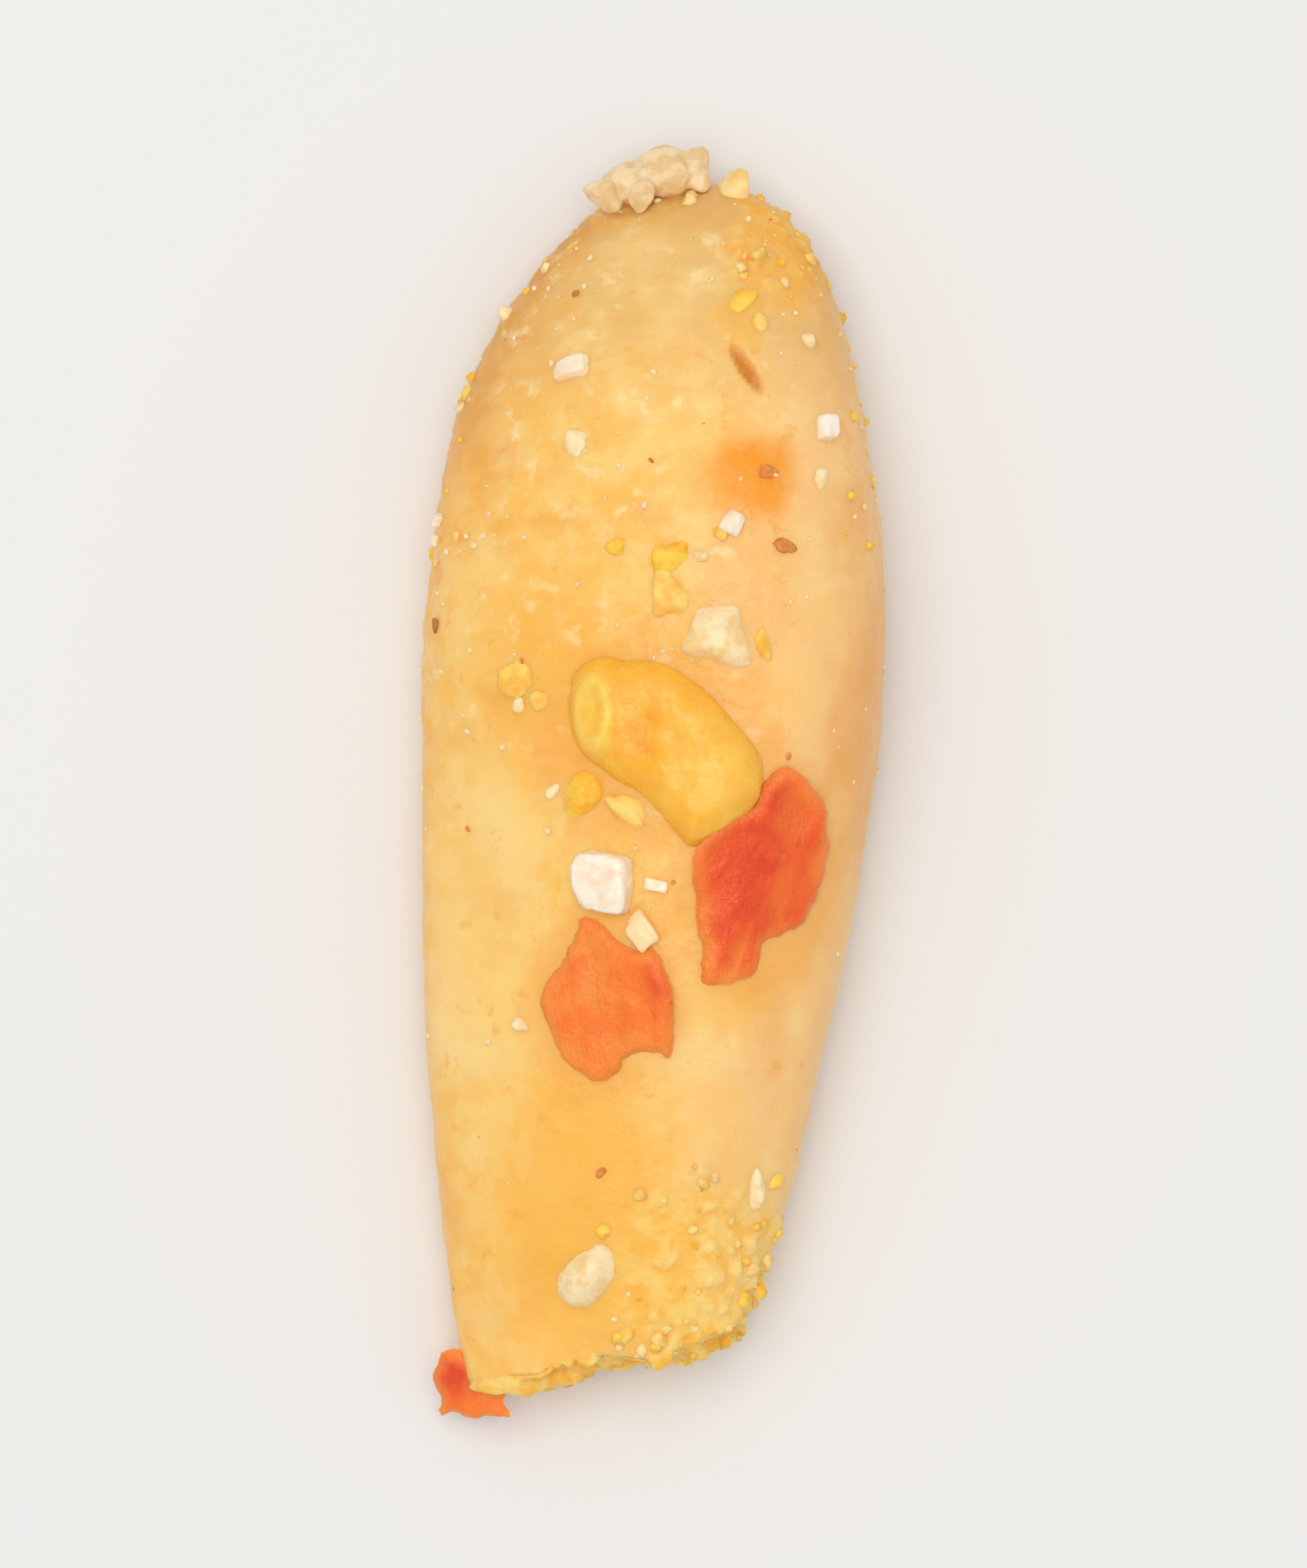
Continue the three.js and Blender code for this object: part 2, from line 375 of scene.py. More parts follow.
def build_kernel_surface():
    """The tree that rounds the kernel, draws its skin in and gives it its uneven surface."""
    tree, start, end = new_tree(
        "kernel_surface",
        "GeometryNodeTree",
        {"Geometry": ("NodeSocketGeometry", None), **kernel_inputs},
        {"Geometry": "NodeSocketGeometry"},
    )
    given = start.outputs
    position = result(add(tree, "GeometryNodeInputPosition"))
    place = scaled(tree, position, 1 / MM)
    eased = ramp(tree, xyz(tree, place)["Y"], BREAK_STARTS - 0.4, BREAK_STARTS + 1.2, 0.03, 1.0)
    blur = add(tree, "GeometryNodeBlurAttribute", {"data_type": "FLOAT_VECTOR"}, Value=position,
               Iterations=given["Rounding"], Weight=eased)
    rounded = add(tree, "GeometryNodeSetPosition", Geometry=given["Geometry"], Position=result(blur))

    facing = result(add(tree, "GeometryNodeInputNormal"))
    upward = xyz(tree, facing)["Z"]
    upper = ramp(tree, upward, -0.75, -0.15)
    masks, tip_sides = skin_masks(tree, place, facing, upper)
    relief = skin_relief(tree, place, given, masks, tip_sides)
    chips = splintered(tree, place, given, masks)
    drawn_in = ramp(tree, upward, 0.2, 0.9, given["Skin at sides"], given["Skin on top"])
    height = times(tree, maths(tree, "SUBTRACT", relief, drawn_in), upper)
    height = times(tree, maths(tree, "ADD", height, chips), MM)
    masks["relief"] = maths(tree, "ADD", relief, chips)
    geometry = rounded.outputs["Geometry"]
    for label, mask in masks.items():
        geometry = store(tree, geometry, label, mask)
    shaped = add(tree, "GeometryNodeSetPosition", Geometry=geometry, Offset=scaled(tree, facing, height))
    soft = add(tree, "GeometryNodeSetShadeSmooth", Geometry=shaped.outputs["Geometry"])
    tree.links.new(soft.outputs[0], end.inputs["Geometry"])
    return tree


def blend(tree, share, below, above):
    """Two colours mixed: the first where share is 0, and the second where it is 1."""
    return result(add(tree, "ShaderNodeMix", {"data_type": "RGBA"}, Factor=share, A=below, B=above))


def build_roasted_grain():
    """The shader group of toasted flecks and fine pores, which each of the finishes uses."""
    tree, start, end = new_tree(
        "roasted_grain",
        "ShaderNodeTree",
        {
            "Place": ("NodeSocketVector", None),
            "Fleck size": ("NodeSocketFloat", 0.8),
            "Pore size": ("NodeSocketFloat", 0.15),
            "Pale": ("NodeSocketColor", colour("ffe2a8")),
            "Toasted": ("NodeSocketColor", colour("e8a040")),
        },
        {"Colour": "NodeSocketColor", "Flecks": "NodeSocketFloat", "Pores": "NodeSocketFloat"},
    )
    given = start.outputs
    finer = maths(tree, "DIVIDE", 1.0, given["Fleck size"])
    flecks = ramp(tree, clouds(tree, given["Place"], finer, 3.0, 0.6), 0.38, 0.64)
    pores = clouds(tree, given["Place"], maths(tree, "DIVIDE", 1.0, given["Pore size"]), 2.0, 0.6)
    tree.links.new(blend(tree, flecks, given["Pale"], given["Toasted"]), end.inputs["Colour"])
    tree.links.new(flecks, end.inputs["Flecks"])
    tree.links.new(pores, end.inputs["Pores"])
    return tree


roasted_grain = build_roasted_grain()


def new_finish(name, **values):
    """A material, its tree and shader with these values set, and the place on the piece in mm."""
    made = bpy.data.materials.new(name)
    made.use_nodes = True
    tree = made.node_tree
    shader = tree.nodes["Principled BSDF"]
    for label, value in values.items():
        shader.inputs[label.replace("_", " ")].default_value = value
    place = scaled(tree, add(tree, "ShaderNodeTexCoord").outputs["Object"], 1 / MM)
    return made, tree, shader, place


def grain_of(tree, place, fleck_size, pore_size, pale, toasted):
    """The roasted-grain group in a material, with its own sizes (mm) and colours."""
    made = tree.nodes.new("ShaderNodeGroup")
    made.node_tree = roasted_grain
    for label, value in (("Place", place), ("Fleck size", fleck_size), ("Pore size", pore_size),
                         ("Pale", colour(pale)), ("Toasted", colour(toasted))):
        plug(tree, made.inputs[label], value)
    return made.outputs


def tint(tree, below, share, code):
    """The colour so far with a second one over it where share is 1."""
    above = code if isinstance(code, bpy.types.NodeSocket) else colour(code)
    return blend(tree, share, below, above)


def bumpy(tree, height, strength, depth):
    """A normal for a finely uneven surface; depth is in mm."""
    return result(add(tree, "ShaderNodeBump", Strength=strength, Distance=depth * MM, Height=height))


def connect(tree, shader, **values):
    """Links other nodes' outputs to the shader's inputs, by name with _ for a space."""
    for label, value in values.items():
        tree.links.new(value, shader.inputs[label.replace("_", " ")])


def kept(tree, label):
    """A value kept on the piece's points."""
    return add(tree, "ShaderNodeAttribute", {"attribute_name": label}).outputs["Fac"]


def pits_of(tree, place, per_mm, radius, share_kept):
    """Small round pits strewn in a pattern of cells; share_kept of the cells have one."""
    cells = add(tree, "ShaderNodeTexVoronoi", Vector=place, Scale=per_mm)
    near = ramp(tree, cells.outputs["Distance"], radius * per_mm, 0.4 * radius * per_mm)
    chosen = add(tree, "ShaderNodeSeparateColor", Color=cells.outputs["Color"]).outputs[0]
    return times(tree, near, maths(tree, "LESS_THAN", chosen, share_kept))


def kernel_finish():
    """Pale golden roasted flesh with oil stains, seasoning flecks and a dry break, with painted shade on its
    steep sides and in its hollows, and painted light on its rises.
    """
    made, tree, flesh, place = new_finish(
        "roasted_kernel",
        Subsurface_Weight=0.4,
        Subsurface_Radius=(1.0, 0.55, 0.22),
        Subsurface_Scale=1.2 * MM,
        Specular_IOR_Level=0.42,
    )
    grain = grain_of(tree, place, 0.9, 0.16, "ffce74", "ffc35e")
    skin = tint(tree, grain["Colour"], kept(tree, "flank"), "fecc88")
    skin = tint(tree, skin, times(tree, kept(tree, "tipward"), 0.7), "e4bd74")
    for label, most, code in skin_tints:
        skin = tint(tree, skin, times(tree, kept(tree, label), most), code)
    relief = kept(tree, "relief")
    # Painted shade and light: a deeper golden in the hollows of the relief, and paler on its rises
    skin = tint(tree, skin, ramp(tree, relief, 0.0, -0.10, 0.0, 0.4), "eba33c")
    skin = tint(tree, skin, ramp(tree, relief, 0.0, 0.10, 0.0, 0.3), "ffe09e")

    powder = clouds(tree, place, 1.4, 5.0, 0.62)
    skin = tint(tree, skin, ramp(tree, powder, 0.60, 0.70, 0.0, 0.4), "f2a53a")
    pale_flecks = times(tree, ramp(tree, powder, 0.46, 0.31), kept(tree, "dusty"))
    skin = tint(tree, skin, times(tree, pale_flecks, 0.55), "ffe8b0")
    pits = pits_of(tree, place, 0.6, 0.08, 0.3)
    skin = tint(tree, skin, times(tree, pits, 0.6), "b06f28")

    crust = kept(tree, "crust")
    crumbly = grain_of(tree, place, 0.7, 0.12, "ffd678", "ffbe46")
    # Painted light: the crust is paler on its raised knobs
    peaks = tint(tree, crumbly["Colour"], ramp(tree, relief, 0.0, 0.2, 0.0, 0.6), "ffda90")
    skin = tint(tree, skin, times(tree, crust, 0.8), peaks)
    skin = tint(tree, skin, times(tree, crust, kept(tree, "tipward"), 0.5), "f3a83c")
    dry = kept(tree, "fresh_break")
    broken = grain_of(tree, place, 0.45, 0.12, "ffd476", "ffb944")
    skin = tint(tree, skin, times(tree, dry, 0.9), broken["Colour"])

    dull = maths(tree, "ADD", times(tree, grain["Flecks"], 0.14), 0.34)
    dull = maths(tree, "ADD", dull, times(tree, maths(tree, "MAXIMUM", dry, crust), 0.2))
    height = maths(tree, "SUBTRACT", grain["Pores"], times(tree, pits, 2.0))
    connect(tree, flesh, Base_Color=skin, Roughness=dull, Normal=bumpy(tree, height, 0.6, 0.04))
    return made


def plain_mesh(piece, name):
    """The piece with its modifiers taken into a plain mesh at the origin."""
    evaluated = piece.evaluated_get(bpy.context.evaluated_depsgraph_get())
    mesh = bpy.data.meshes.new_from_object(evaluated)
    mesh.name = name
    bpy.data.objects.remove(piece)
    return in_scene(name, mesh)


def with_nodes(piece, tree, values):
    """Gives the piece a Geometry Nodes modifier with these values for the tree's named inputs."""
    modifier = piece.modifiers.new(tree.name, "NODES")
    modifier.node_group = tree
    for item in tree.interface.items_tree:
        if item.in_out == "INPUT" and item.name in values:
            modifier[item.identifier] = values[item.name]


raw_mesh = frame["nodes"]["kernel"].data.copy()
merging = bmesh.new()
merging.from_mesh(raw_mesh)
bmesh.ops.remove_doubles(merging, verts=merging.verts, dist=SAME_POINT)
merging.to_mesh(raw_mesh)
merging.free()
raw_mesh.materials.clear()
raw_kernel = in_scene("raw_kernel", raw_mesh)
even = raw_kernel.modifiers.new("even", "REMESH")
even.mode = "VOXEL"
even.voxel_size = VOXEL
surface_values = {label: value for label, (_, value) in kernel_inputs.items()}
with_nodes(raw_kernel, build_kernel_surface(), surface_values)
kernel = plain_mesh(raw_kernel, "kernel_flesh")
kernel.data.materials.append(kernel_finish())
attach(kernel, "root")
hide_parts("kernel")

# ---------------------------------------------------------------------------------------------
# Garlic and flesh crumbs: dried cream and yellow granules that the frying oil glued on. The
# largest cluster hangs on the tip, and each of them is an angular lump, worn round at its edges.

CRUMB_SUNK = 0.66  # share of a crumb's whole height
FINER_FROM = 0.7  # mm; crumbs longer than this get a finer mesh
CORNER_REACH = 1.3  # the corners of a lump whose faces are at about 1 from its middle
ABOVE_ALL = 50.0 * MM
BESIDE = 2.0  # mm above the table; the side of the kernel is looked for from this height

# x, y (mm), (length, width, height above the skin), turn (degrees), shade from 0, greyer cream that is partly
# painted shade, to 1, golden
single_crumbs = [
    (2.0, 14.65, (1.05, 0.8, 0.42), 120, 0.6),
    (2.25, 11.85, (0.75, 0.55, 0.1), 40, 0.9),
    (2.55, 11.25, (0.5, 0.4, 0.1), 100, 0.75),
    (2.62, 3.4, (0.9, 0.42, 0.2), 95, 0.85),
    (3.8, 10.8, (0.55, 0.45, 0.22), 20, 0.15),
    (4.05, 7.45, (0.66, 0.44, 0.22), 75, 0.2),
    (0.34, 4.55, (1.3, 1.0, 0.26), 70, 0.75),
    (0.42, 5.5, (1.15, 0.9, 0.26), 30, 1.0),
    (1.2, 5.5, (0.45, 0.35, 0.18), 0, 0.35),
    (-0.9, 5.75, (0.7, 0.5, 0.2), 20, 0.95),
    (1.6, 6.1, (0.5, 0.4, 0.16), 120, 0.8),
    (-1.85, -0.36, (1.2, 1.0, 0.3), 75, 1.0),
    (-2.5, -0.2, (0.46, 0.36, 0.16), 50, 0.45),
    (-0.68, -0.68, (1.55, 0.7, 0.2), -32, 0.75),
    (-3.35, 2.5, (1.15, 0.8, 0.14), 30, 0.8),
    (-2.8, 2.05, (0.6, 0.45, 0.12), 100, 0.8),
    (-3.3, 1.9, (0.5, 0.35, 0.18), 80, 0.3),
    (-3.25, -5.9, (0.5, 0.42, 0.16), 0, 0.3),
    (2.5, -9.95, (0.88, 0.44, 0.22), 95, 0.15),
    (2.98, -9.75, (0.5, 0.42, 0.2), 40, 0.85),
    (-2.65, 12.7, (0.38, 0.32, 0.16), 0, 0.2),
    (-3.6, 11.6, (0.38, 0.3, 0.16), 60, 0.2),
    (-1.95, 8.3, (0.85, 0.6, 0.12), 160, 0.45),
]

# The two largest, by their outline (mm), height, width of their rounded edge, and shade
chunk_outline = [
    (1.05, 4.3), (1.6, 4.4), (2.1, 4.3), (2.2, 3.85), (2.35, 3.4), (2.4, 2.85), (1.9, 2.78),
    (1.4, 2.95), (0.95, 3.0), (0.6, 3.25), (0.8, 3.7), (0.9, 4.0),
]
granule_outline = [
    (-1.2, -11.15), (-0.92, -11.6), (-0.98, -12.15), (-1.35, -12.7), (-1.8, -12.95),
    (-2.25, -12.75), (-2.45, -12.2), (-2.2, -11.75), (-1.7, -11.35),
]
large_crumbs = [(chunk_outline, 0.5, 0.6, 0.42), (granule_outline, 0.62, 0.85, 0.34)]
LARGE_LUMPS = 0.16
LARGE_LOWERED = 0.08  # mm by which the edge of a large crumb's top is in the kernel
LARGE_ROOT = 0.15  # mm by which its underside is


def ball(fineness):
    """Points and triangles of a ball of radius 1; a step of fineness splits each face in four."""
    made = bmesh.new()
    bmesh.ops.create_icosphere(made, subdivisions=fineness, radius=1.0)
    points = [vertex.co.copy() for vertex in made.verts]
    faces = [[vertex.index for vertex in face.verts] for face in made.faces]
    made.free()
    return points, faces


def any_direction(dice):
    """A direction picked evenly from all round."""
    up = dice.uniform(-1, 1)
    turn = dice.uniform(0, math.tau)
    flat = math.sqrt(1 - up * up)
    return Vector((flat * math.cos(turn), flat * math.sin(turn), up))


def cut_lump(dice, fineness, planes, sharpness, uneven):
    """A lump of about radius 1 that planes (normal, distance) have cut, with edges as sharp as asked."""
    points, faces = ball(fineness)
    shift = any_direction(dice) * dice.uniform(5, 50)
    shaped = []
    for point in points:
        total = CORNER_REACH ** -sharpness
        for normal, distance in planes:
            total += max(0.0, point.dot(normal) / distance) ** sharpness
        wave = noise.fractal(point * 1.6 + shift, 0.9, 2.0, 4)
        shaped.append(point * total ** (-1 / sharpness) * (1 + uneven * wave))
    return shaped, faces


def crumb(dice, fineness, uneven=0.13):
    """A crumbled granule: planes cut at any angle, and worn round."""
    planes = [(any_direction(dice), dice.uniform(0.72, 1.0)) for _ in range(11)]
    return cut_lump(dice, fineness, planes, 7.0, uneven)


kernel_skin = BVHTree.FromObject(kernel, bpy.context.evaluated_depsgraph_get())


def on_kernel(x, y):
    """The place on top of the kernel at x, y (mm) and the way the surface faces there."""
    hit = kernel_skin.ray_cast(Vector((x * MM, y * MM, ABOVE_ALL)), Vector((0, 0, -1)))
    if hit[0] is None:
        hit = kernel_skin.find_nearest(Vector((x, y, BESIDE)) * MM)
    return hit[0], hit[1]


def seated(points, size, x, y, turn, sunk):
    """The points of a lump of this length, width and height above the skin (mm), with a share of
    its whole height sunk into the kernel."""
    spot_on, normal = on_kernel(x, y)
    whole = size[2] / (1 - sunk)
    along = Vector((math.cos(math.radians(turn)), math.sin(math.radians(turn)), 0))
    along = (along - normal * along.dot(normal)).normalized()
    across = normal.cross(along)
    middle = spot_on + normal * whole * (0.5 - sunk) * MM
    length, width, height = (side * MM / 2 for side in (size[0], size[1], whole))
    return [middle + along * p.x * length + across * p.y * width + normal * p.z * height for p in points]


def seated_lumps(places, lump, sunk):
    """A part for each row of places, which is x, y, size, turn and shade; lump gives its form by size."""
    parts = []
    for x, y, size, turn, shade in places:
        points, faces = lump(size)
        points = seated(points, size, x, y, turn, sunk)
        parts.append((points, faces, {"shade": [shade] * len(points)}))
    return parts


SHEET_MESH = 0.1  # mm between the points of a thin body
AT_EDGE = 1e-4  # mm; points nearer than this are on the edge itself
SHEET_SPAN = 0.9  # mm, half the dip that a stiff sheet bridges
DRAPED_SPAN = 0.35  # mm, the same for a soft one
THIN_EDGE = math.radians(100)
noise.seed_set(9)  # or the torn edges would differ from one run to the next


def smooth_loop(corners, spacing, torn, shift):
    """Points close together on a smooth closed curve through corners (mm), torn a little."""
    loop = []
    for i in range(len(corners)):
        a, b, c, d = (Vector(corners[(i + k) % len(corners)]) for k in (-1, 0, 1, 2))
        steps = max(1, round((c - b).length / spacing))
        for step in range(steps):
            t = step / steps
            curve = 2 * b + (c - a) * t + (2 * a - 5 * b + 4 * c - d) * t**2 + (3 * b - a - 3 * c + d) * t**3
            point = curve / 2
            tear = noise.turbulence_vector(Vector((*point, shift)) * 1.8, 5, False)
            loop.append(point + tear.xy * torn)
    return loop


def filled(loop, spacing, dice):
    """Points and triangles that fill a loop evenly, and how far each point is from its edge."""
    edge = KDTree(len(loop))
    for i, point in enumerate(loop):
        edge.insert((*point, 0), i)
    edge.balance()
    low = Vector((min(p.x for p in loop), min(p.y for p in loop)))
    high = Vector((max(p.x for p in loop), max(p.y for p in loop)))
    inside = []
    row_height = spacing * math.sqrt(0.75)
    for row in range(int((high.y - low.y) / row_height) + 1):
        for column in range(int((high.x - low.x) / spacing) + 1):
            point = low + Vector(((column + row % 2 / 2) * spacing, row * row_height))
            point += Vector((dice.uniform(-0.2, 0.2), dice.uniform(-0.2, 0.2))) * spacing
            if edge.find((*point, 0))[2] > 0.7 * spacing:
                inside.append(point)
    sides = [(i, (i + 1) % len(loop)) for i in range(len(loop))]
    # Output type 1 leaves out the triangles beyond the loop
    points, _, faces = delaunay_2d_cdt(loop + inside, sides, [], 1, 1e-6)[:3]
    used = sorted({i for face in faces for i in face})
    number = {old: new for new, old in enumerate(used)}
    points = [points[i] for i in used]
    faces = [[number[i] for i in face] for face in faces]
    return points, faces, [edge.find((*point, 0))[2] for point in points]


def draped(x, y, reach):
    """Where a sheet rests at x, y (mm) if it bridges dips up to twice reach wide, and its normal."""
    height, facing = 0.0, Vector((0, 0, 0))
    around = ((0, 0), (reach, 0), (-reach, 0), (0, reach), (0, -reach))
    for dx, dy in around:
        spot_on, normal = on_kernel(x + dx, y + dy)
        height += spot_on.z / len(around)
        facing += normal
    return Vector((x * MM, y * MM, height)), facing.normalized()


def resting(corners, stiff):
    """How a sheet with this outline rests on the kernel, draped if stiff is 0 and flat if it is 1."""
    middle = sum((Vector(corner) for corner in corners), Vector((0, 0))) / len(corners)
    level, up = draped(middle.x, middle.y, SHEET_SPAN)

    def surface(x, y):
        base, facing = draped(x, y, DRAPED_SPAN)
        plane = level.z - (up.x * (base.x - level.x) + up.y * (base.y - level.y)) / up.z
        base.z += stiff * (plane - base.z)
        return base, facing.lerp(up, stiff).normalized()

    return surface


def thin_body(corners, torn, seed, surface, rise, values):
    """A closed body over an outline. surface gives the place and facing of what it rests on, rise
    its top and underside (mm) above that, and values what is kept on its points, each from x, y
    and, for the last two, the depth in from the edge (mm)."""
    dice = random.Random(seed)
    loop = smooth_loop(corners, SHEET_MESH / 2, torn, seed)
    flat, faces, depths = filled(loop, SHEET_MESH, dice)
    faces = [face for face in faces if any(depths[i] > AT_EDGE for i in face)]
    top, underside, lower_number = [], [], {}
    for i, (point, depth) in enumerate(zip(flat, depths)):
        base, facing = surface(point.x, point.y)
        upper_height, lower_height = rise(point.x, point.y, depth)
        if depth < AT_EDGE:
            top.append(base + facing * lower_height * MM)
            lower_number[i] = i
        else:
            top.append(base + facing * upper_height * MM)
            lower_number[i] = len(flat) + len(underside)
            underside.append(base + facing * lower_height * MM)
    faces = faces + [[lower_number[i] for i in reversed(face)] for face in faces]
    places = list(zip(flat, depths))
    places += [place for i, place in enumerate(places) if lower_number[i] != i]
    marks = [values(point.x, point.y, depth) for point, depth in places]
    return top + underside, faces, {label: [mark[label] for mark in marks] for label in marks[0]}


def round_edge(depth, width, sharpness):
    """How full a body with a rounded edge is at a depth in from the edge, from 0 to 1. It rises
    like a quarter circle if sharpness is 0.5, and less steeply if it is more."""
    return (1 - (1 - min(1.0, depth / width)) ** 2) ** sharpness


def loose_piece(name, parts, finish):
    """One object of loose parts: points, faces, and by name a value kept on each point. It is
    smooth but for the thin edges, where the top meets the underside."""
    points, faces, kept_values = [], [], {}
    for part_points, part_faces, part_values in parts:
        faces += [[len(points) + i for i in face] for face in part_faces]
        points += part_points
        for label, values in part_values.items():
            kept_values.setdefault(label, []).extend(values)
    mesh = bpy.data.meshes.new(name)
    mesh.from_pydata(points, [], faces)
    for label, values in kept_values.items():
        mesh.attributes.new(label, "FLOAT", "POINT").data.foreach_set("value", values)
    mesh.shade_smooth()
    mesh.set_sharp_from_angle(angle=THIN_EDGE)
    mesh.materials.append(finish)
    made = in_scene(name, mesh)
    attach(made, "root")


def crumb_finish():
    """Dried garlic, cream on one crumb and golden on the next, dull and finely pored; the greyest cream, at
    shade 0, is partly painted shade, a darker copy of the pale cream.
    """
    made, tree, flesh, place = new_finish(
        "seasoning_crumb",
        Subsurface_Weight=0.25,
        Subsurface_Radius=(1.0, 0.85, 0.6),
        Subsurface_Scale=0.15 * MM,
        Specular_IOR_Level=0.4,
    )
    # Partly painted shade: the greyest cream, where shade is 0, is a darker copy of the pale cream, and
    # colours the tip cluster
    cream_and_shade = grain_of(tree, place, 0.45, 0.09, "f2d9ae", "e6c38c")
    pale = grain_of(tree, place, 0.45, 0.09, "fde8bc", "f6d394")
    golden = grain_of(tree, place, 0.45, 0.09, "ffd24e", "fdb836")
    shade = kept(tree, "shade")
    body = tint(tree, cream_and_shade["Colour"], ramp(tree, shade, 0.0, 0.2), pale["Colour"])
    body = tint(tree, body, ramp(tree, shade, 0.3, 1.0), golden["Colour"])
    dull = maths(tree, "ADD", times(tree, cream_and_shade["Flecks"], 0.2), 0.42)
    connect(tree, flesh, Base_Color=body, Roughness=dull, Normal=bumpy(tree, cream_and_shade["Pores"], 0.5, 0.03))
    return made


crumb_material = crumb_finish()
crumb_dice = random.Random(11)


def crumb_of_size(size):
    """A crumb with a finer mesh if it is a long one."""
    return crumb(crumb_dice, 4 if max(size) > FINER_FROM else 3)


crumb_parts = seated_lumps(single_crumbs, crumb_of_size, CRUMB_SUNK)


def large_crumb(outline, height, edge, shade, seed):
    """A crumb that fills an outline, with a lumpy top and a rounded edge."""

    def rise(x, y, depth):
        lumpy = LARGE_LUMPS * noise.fractal(Vector((x, y, seed)) * 1.3, 0.8, 2.0, 4)
        return (height + lumpy) * round_edge(depth, edge, 0.95) - LARGE_LOWERED, -LARGE_ROOT

    return thin_body(outline, 0.05, seed, resting(outline, 0.3), rise, lambda x, y, depth: {"shade": shade})


for seed, (outline, height, edge, shade) in enumerate(large_crumbs):
    crumb_parts.append(large_crumb(outline, height, edge, shade, seed))
loose_piece("garlic_crumbs", crumb_parts, crumb_material)

# The cluster on the tip: eight cream crumbs caked into one lump, so they are melted together. It keeps no
# shade, so it takes the crumbs' greyest cream, which is partly painted shade
CLUSTER_VOXEL = 0.05 * MM

# x, y, z (mm) of the middle of each crumb and its width
cluster_crumbs = [
    (0.5, 15.1, 2.45, 1.4),
    (-0.1, 14.95, 2.55, 1.2),
    (1.0, 15.35, 2.3, 0.9),
    (1.05, 14.95, 2.4, 0.75),
    (-0.6, 14.75, 2.7, 1.0),
    (-1.15, 14.5, 2.8, 0.9),
    (-0.3, 14.45, 3.0, 0.75),
    (0.1, 15.45, 2.2, 0.75),
]


def tip_cluster():
    """The cluster's crumbs, joined into one body by an even remesh."""
    dice = random.Random(5)
    made = bmesh.new()
    for x, y, z, width in cluster_crumbs:
        points, faces = crumb(dice, 3, 0.16)
        stretch = Vector((dice.uniform(0.9, 1.15), dice.uniform(0.85, 1.05), dice.uniform(0.7, 0.95)))
        middle = Vector((x, y, z))
        corners = [made.verts.new((middle + point * stretch * width / 2) * MM) for point in points]
        for face in faces:
            made.faces.new([corners[i] for i in face])
    mesh = bpy.data.meshes.new("tip_cluster")
    made.to_mesh(mesh)
    made.free()
    cluster = in_scene("tip_cluster", mesh)
    join = cluster.modifiers.new("join", "REMESH")
    join.mode = "VOXEL"
    join.voxel_size = CLUSTER_VOXEL
    join.use_smooth_shade = True
    ease = cluster.modifiers.new("ease", "SMOOTH")
    ease.factor = 0.5
    ease.iterations = 2
    return plain_mesh(cluster, "tip_cluster")


cluster = tip_cluster()
cluster.data.materials.append(crumb_material)
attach(cluster, "root")

# ---------------------------------------------------------------------------------------------
# Salt: coarse crystals, milky cubes with knocked-off corners, that stuck while the oil was hot.
# Each is about half sunk into the oily skin, and the oil has yellowed some of them.

# x, y (mm), (length, width, height above the skin), turn (degrees), share of yellow oil on it
salt_crystals = [
    (-1.2, -2.42, (1.65, 1.75, 0.66), -4, 0.05),
    (-0.28, -3.55, (1.15, 0.8, 0.42), -52, 1.0),
    (0.08, -2.45, (0.72, 0.36, 0.22), -12, 0.3),
    (1.93, 6.3, (0.75, 0.62, 0.36), 60, 0.1),
    (4.16, 8.65, (0.85, 0.62, 0.36), 75, 0.0),
    (-2.0, 10.15, (1.15, 0.78, 0.26), 172, 0.45),
    (-5.25, 6.5, (0.42, 0.36, 0.24), 20, 0.0),
    (-5.35, 6.0, (0.36, 0.3, 0.2), 80, 0.0),
]
SALT_SUNK = 0.48


def crystal(dice):
    """A worn cube with five to eight corners and edges knocked off."""
    axes = [Vector(side) for side in ((1, 0, 0), (0, 1, 0), (0, 0, 1))]
    planes = [(axis * sign, dice.uniform(0.74, 0.86)) for axis in axes for sign in (1, -1)]
    planes += [(any_direction(dice), dice.uniform(0.74, 0.9)) for _ in range(dice.randint(5, 8))]
    return cut_lump(dice, 4, planes, 14.0, 0.09)


def salt_finish():
    """Milky salt with slightly frosted faces; the finer it is, the more oil has yellowed it."""
    made, tree, salt, place = new_finish(
        "salt",
        Subsurface_Weight=0.4,
        Subsurface_Radius=(1.0, 0.9, 0.75),
        Subsurface_Scale=0.15 * MM,
        IOR=1.54,
    )
    frost = grain_of(tree, place, 0.5, 0.07, "fff5e6", "fbe0c4")
    body = tint(tree, frost["Colour"], times(tree, kept(tree, "shade"), 0.8), "ffd894")
    dull = maths(tree, "ADD", times(tree, frost["Flecks"], 0.22), 0.16)
    connect(tree, salt, Base_Color=body, Roughness=dull, Normal=bumpy(tree, frost["Pores"], 0.25, 0.02))
    return made


salt_material = salt_finish()
salt_dice = random.Random(23)
salt_parts = seated_lumps(salt_crystals, lambda size: crystal(salt_dice), SALT_SUNK)
loose_piece("salt_crystals", salt_parts, salt_material)

# ---------------------------------------------------------------------------------------------
# Chilli seed: a flat golden disc, swollen in two lobes, that the oil stuck on above the middle.
# It is made over its outline: an upper skin and an underside that meet at a rounded edge.

SEED_THICKNESS = 0.68
SEED_EDGE = 0.9
SEED_ROUGH = 0.06
SEED_LOWERED = 0.1  # mm by which the edge of the seed's top is in the kernel
SEED_ROOT = 0.14  # mm by which its underside is
SEED_RIM = 0.4  # mm, the width of the darker rim, painted shade at the seed's edge
